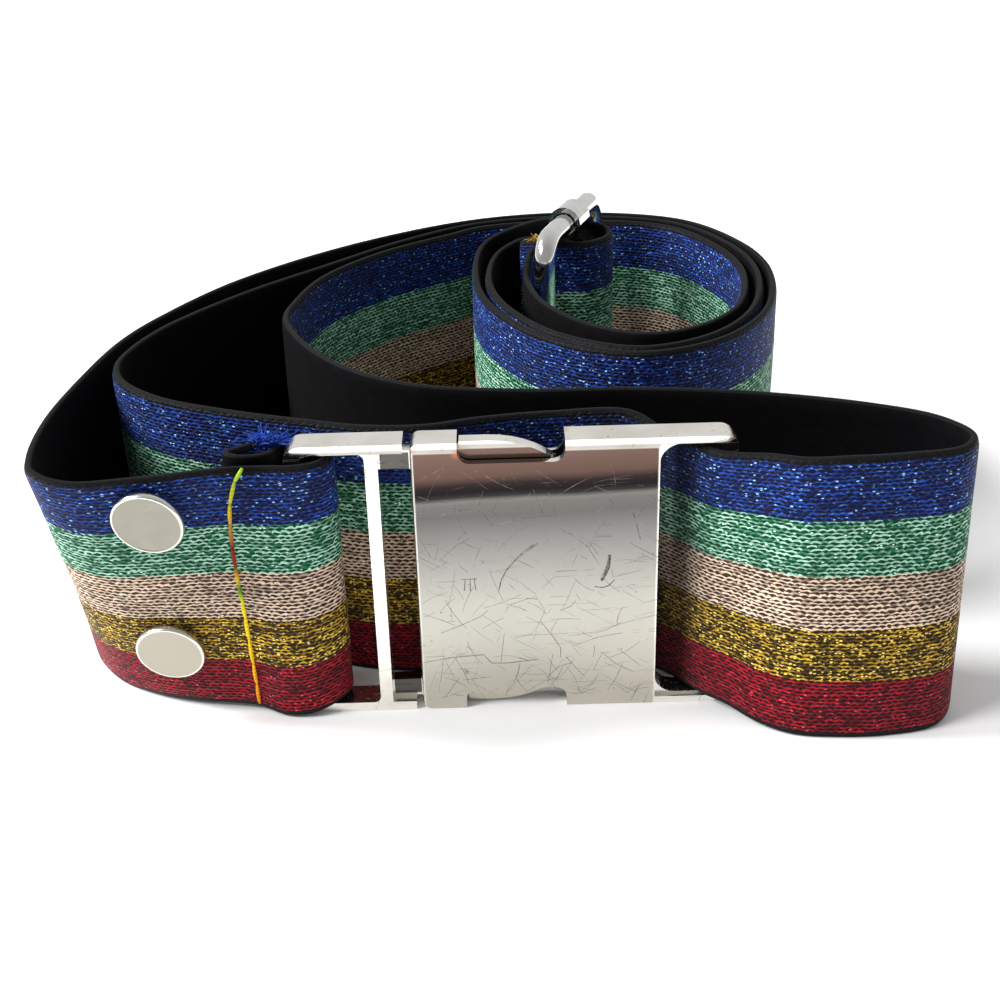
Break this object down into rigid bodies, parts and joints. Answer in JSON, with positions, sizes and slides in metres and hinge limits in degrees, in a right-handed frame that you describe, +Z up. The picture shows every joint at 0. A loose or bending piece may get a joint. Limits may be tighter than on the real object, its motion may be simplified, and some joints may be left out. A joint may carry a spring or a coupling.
{
  "type": "elastic stretch belt",
  "caption": "Wide striped elastic belt, coiled and folded on its edge, with a fastened metal side-release buckle, snap caps and a wire length slide.",
  "frame": {"origin": "middle of the belt's box, on the surface that it stands on", "axes": "+X along the buckle towards its strap loop, -Y the way the buckle's front faces, +Z up along the band's width"},
  "size_m": [0.1506, 0.1388, 0.061],
  "materials": {
    "band": "knitted elastic with metallic yarn",
    "buckle": "worn nickel plate",
    "snap": "polished",
    "slide": "polished round wire"
  },
  "bodies": {
    "root": {"elastic_band": "band", "buckle_plate": "buckle", "buckle_frame": "buckle", "snap_cap_upper": "snap", "snap_socket_upper": "snap", "snap_cap_lower": "snap", "snap_socket_lower": "snap", "slide_frame": "slide", "slide_bar": "slide"}
  },
  "joints": []
}
